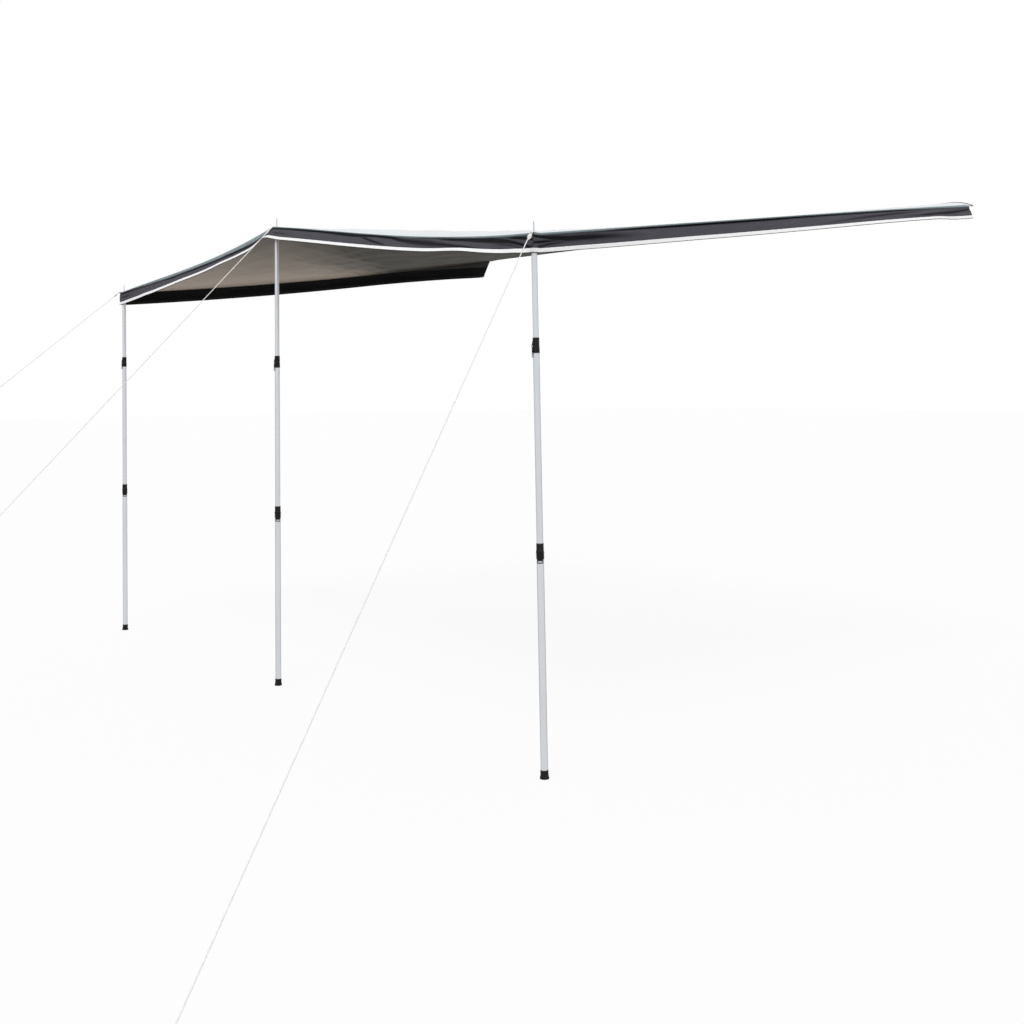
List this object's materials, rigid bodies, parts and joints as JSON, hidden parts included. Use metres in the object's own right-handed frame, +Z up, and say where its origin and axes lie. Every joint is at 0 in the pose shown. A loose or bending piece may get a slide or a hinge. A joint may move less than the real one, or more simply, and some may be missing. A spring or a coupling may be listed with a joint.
{
  "type": "caravan sun canopy",
  "caption": "Sun canopy whose rear bead slides in a caravan's awning rail; telescopic cam-clamp poles and guy ropes hold up its valanced front edge.",
  "frame": {"origin": "middle of the bead along the rear edge, on the bead's axis, where it sits in the awning rail", "axes": "+X along the rail to the right as seen from in front, +Y into the caravan, +Z up; the ground is 2.46 m below the origin"},
  "size_m": [6.969, 5.1826, 2.5861],
  "materials": {
    "roof_cloth": "coated cloth, light grey-brown below and near white above",
    "valance_cloth": "dark charcoal woven cloth",
    "binding_tape": "white woven tape",
    "welt": "black welt bead",
    "eyelet_metal": "nickel-plated",
    "aluminium": "satin anodised",
    "zinc_steel": "zinc-plated steel",
    "clamp_plastic": "black moulded nylon",
    "foot_rubber": "black rubber",
    "rope_yarn": "pale braided cord",
    "runner_plastic": "black plastic"
  },
  "bodies": {
    "canopy": {"roof": "roof_cloth", "rail_bead": "welt", "front_left_valance": "valance_cloth", "front_left_binding": "binding_tape", "front_right_valance": "valance_cloth", "front_right_binding": "binding_tape", "left_side_valance": "valance_cloth", "left_side_binding": "binding_tape", "right_side_valance": "valance_cloth", "right_side_binding": "binding_tape", "left_eyelet": "eyelet_metal", "left_guy_rope": "rope_yarn", "left_rope_knot": "rope_yarn", "left_rope_runner": "runner_plastic", "left_peg": "zinc_steel", "middle_eyelet": "eyelet_metal", "middle_guy_rope": "rope_yarn", "middle_rope_knot": "rope_yarn", "middle_rope_runner": "runner_plastic", "middle_peg": "zinc_steel", "right_eyelet": "eyelet_metal", "right_guy_rope": "rope_yarn", "right_rope_knot": "rope_yarn", "right_rope_runner": "runner_plastic", "right_peg": "zinc_steel"},
    "left_pole_top": {"left_spigot": "zinc_steel", "left_top_tube": "aluminium"},
    "left_pole_middle": {"left_middle_tube": "aluminium", "left_upper_clamp_collar": "clamp_plastic", "left_upper_clamp_pin": "zinc_steel"},
    "left_pole_bottom": {"left_bottom_tube": "aluminium", "left_lower_clamp_collar": "clamp_plastic", "left_lower_clamp_pin": "zinc_steel", "left_foot": "foot_rubber"},
    "left_upper_lever": {"left_upper_clamp_lever": "clamp_plastic"},
    "left_lower_lever": {"left_lower_clamp_lever": "clamp_plastic"},
    "middle_pole_top": {"middle_spigot": "zinc_steel", "middle_top_tube": "aluminium"},
    "middle_pole_middle": {"middle_middle_tube": "aluminium", "middle_upper_clamp_collar": "clamp_plastic", "middle_upper_clamp_pin": "zinc_steel"},
    "middle_pole_bottom": {"middle_bottom_tube": "aluminium", "middle_lower_clamp_collar": "clamp_plastic", "middle_lower_clamp_pin": "zinc_steel", "middle_foot": "foot_rubber"},
    "middle_upper_lever": {"middle_upper_clamp_lever": "clamp_plastic"},
    "middle_lower_lever": {"middle_lower_clamp_lever": "clamp_plastic"},
    "right_pole_top": {"right_spigot": "zinc_steel", "right_top_tube": "aluminium"},
    "right_pole_middle": {"right_middle_tube": "aluminium", "right_upper_clamp_collar": "clamp_plastic", "right_upper_clamp_pin": "zinc_steel"},
    "right_pole_bottom": {"right_bottom_tube": "aluminium", "right_lower_clamp_collar": "clamp_plastic", "right_lower_clamp_pin": "zinc_steel", "right_foot": "foot_rubber"},
    "right_upper_lever": {"right_upper_clamp_lever": "clamp_plastic"},
    "right_lower_lever": {"right_lower_clamp_lever": "clamp_plastic"}
  },
  "joints": [
    {"name": "left_pole_tilt", "type": "hinge", "parent": "canopy", "child": "left_pole_top", "pos_m": [-2.055, -2.87, -0.36609], "axis": [1, 0, 0], "range_deg": [-3, 12]},
    {"name": "left_upper_slide", "type": "slide", "parent": "left_pole_top", "child": "left_pole_middle", "axis": [0, 0, 1], "range_m": [-0.375, 0.31]},
    {"name": "left_lower_slide", "type": "slide", "parent": "left_pole_middle", "child": "left_pole_bottom", "axis": [0, 0, 1], "range_m": [-0.03, 0.71]},
    {"name": "left_upper_lever_turn", "type": "hinge", "parent": "left_pole_middle", "child": "left_upper_lever", "pos_m": [-2.06122, -2.88398, -0.7895], "axis": [-0.9135, 0.4067, 0], "range_deg": [0, 110]},
    {"name": "left_lower_lever_turn", "type": "hinge", "parent": "left_pole_bottom", "child": "left_lower_lever", "pos_m": [-2.03942, -2.87629, -1.5835], "axis": [-0.3746, -0.9272, 0], "range_deg": [0, 110]},
    {"name": "middle_pole_tilt", "type": "hinge", "parent": "canopy", "child": "middle_pole_top", "pos_m": [-0.04, -2.87, -0.14909], "axis": [1, 0, 0], "range_deg": [-3, 12]},
    {"name": "middle_upper_slide", "type": "slide", "parent": "middle_pole_top", "child": "middle_pole_middle", "axis": [0, 0, 1], "range_m": [-0.125, 0.555]},
    {"name": "middle_lower_slide", "type": "slide", "parent": "middle_pole_middle", "child": "middle_pole_bottom", "axis": [0, 0, 1], "range_m": [-0.03, 0.68]},
    {"name": "middle_upper_lever_turn", "type": "hinge", "parent": "middle_pole_middle", "child": "middle_upper_lever", "pos_m": [-0.04765, -2.88325, -0.8205], "axis": [-0.866, 0.5, 0], "range_deg": [0, 110]},
    {"name": "middle_lower_lever_turn", "type": "hinge", "parent": "middle_pole_bottom", "child": "middle_lower_lever", "pos_m": [-0.02517, -2.87789, -1.5835], "axis": [-0.4695, -0.8829, 0], "range_deg": [0, 110]},
    {"name": "right_pole_tilt", "type": "hinge", "parent": "canopy", "child": "right_pole_top", "pos_m": [2.055, -2.87, -0.36609], "axis": [1, 0, 0], "range_deg": [-3, 12]},
    {"name": "right_upper_slide", "type": "slide", "parent": "right_pole_top", "child": "right_pole_middle", "axis": [-0.011, -0.0119, 0.9999], "range_m": [-0.375, 0.31]},
    {"name": "right_lower_slide", "type": "slide", "parent": "right_pole_middle", "child": "right_pole_bottom", "axis": [-0.011, -0.0119, 0.9999], "range_m": [-0.03, 0.71]},
    {"name": "right_upper_lever_turn", "type": "hinge", "parent": "right_pole_middle", "child": "right_upper_lever", "pos_m": [2.04982, -2.87666, -0.78997], "axis": [-0.766, 0.6428, -0.0007], "range_deg": [0, 110]},
    {"name": "right_lower_lever_turn", "type": "hinge", "parent": "right_pole_bottom", "child": "right_lower_lever", "pos_m": [2.08124, -2.86626, -1.5836], "axis": [-0.6427, -0.7659, -0.0162], "range_deg": [0, 110]}
  ]
}
